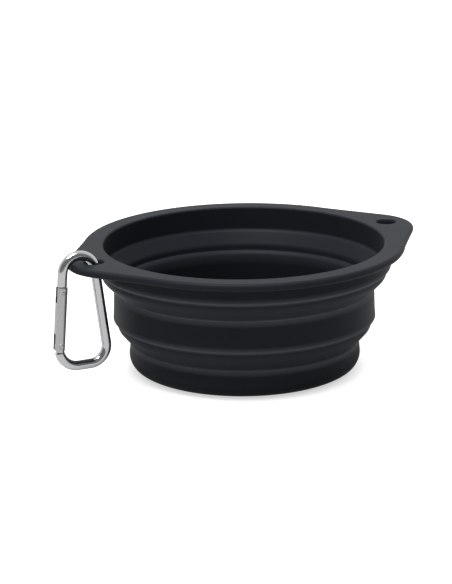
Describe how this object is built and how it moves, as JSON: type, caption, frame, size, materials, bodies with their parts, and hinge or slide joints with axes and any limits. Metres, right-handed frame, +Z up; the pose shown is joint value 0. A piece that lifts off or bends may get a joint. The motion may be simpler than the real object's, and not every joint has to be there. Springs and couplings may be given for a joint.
{
  "type": "collapsible bowl",
  "caption": "Round silicone bowl that folds flat: stiff rings joined by folding bands, a flat rim with two holed ears, and a sprung snap hook hanging in one of them.",
  "frame": {"origin": "centre of the flat underside that the bowl stands on", "axes": "+X towards the free ear, -X towards the ear with the hook, +Z up out of the mouth, +Y across the ears"},
  "size_m": [0.161, 0.131, 0.0584],
  "materials": {
    "silicone": "matte moulded silicone, dark grey",
    "aluminium": "polished drawn aluminium",
    "steel": "bright drawn steel"
  },
  "bodies": {
    "base": {"base_cup": "silicone", "lower_fold": "silicone"},
    "middle": {"middle_ring": "silicone", "upper_fold": "silicone"},
    "rim": {"rim": "silicone", "carabiner_ear": "silicone", "hanging_ear": "silicone"},
    "hook": {"hook_frame": "aluminium"},
    "gate": {"gate": "aluminium", "latch_pin": "steel", "hinge_rivet": "steel", "gate_spring": "steel"}
  },
  "joints": [
    {"name": "lower_collapse", "type": "slide", "parent": "base", "child": "middle", "axis": [0, 0, 1], "range_m": [-0.0175, 0], "deforming": ["lower_fold"]},
    {"name": "upper_collapse", "type": "slide", "parent": "middle", "child": "rim", "axis": [0, 0, 1], "range_m": [-0.0167, 0], "deforming": ["upper_fold"]},
    {"name": "hook_swing", "type": "hinge", "parent": "rim", "child": "hook", "pos_m": [-0.07296, 0, 0.04943], "axis": [0, -1, 0], "range_deg": [-95, 5]},
    {"name": "gate_swing", "type": "hinge", "parent": "hook", "child": "gate", "pos_m": [-0.08224, 0, 0.02076], "axis": [0, -1, 0], "range_deg": [-27, 0], "stiffness_Nm_per_rad": 0.02, "springref_deg": 28.65, "deforming": ["gate_spring"]}
  ]
}
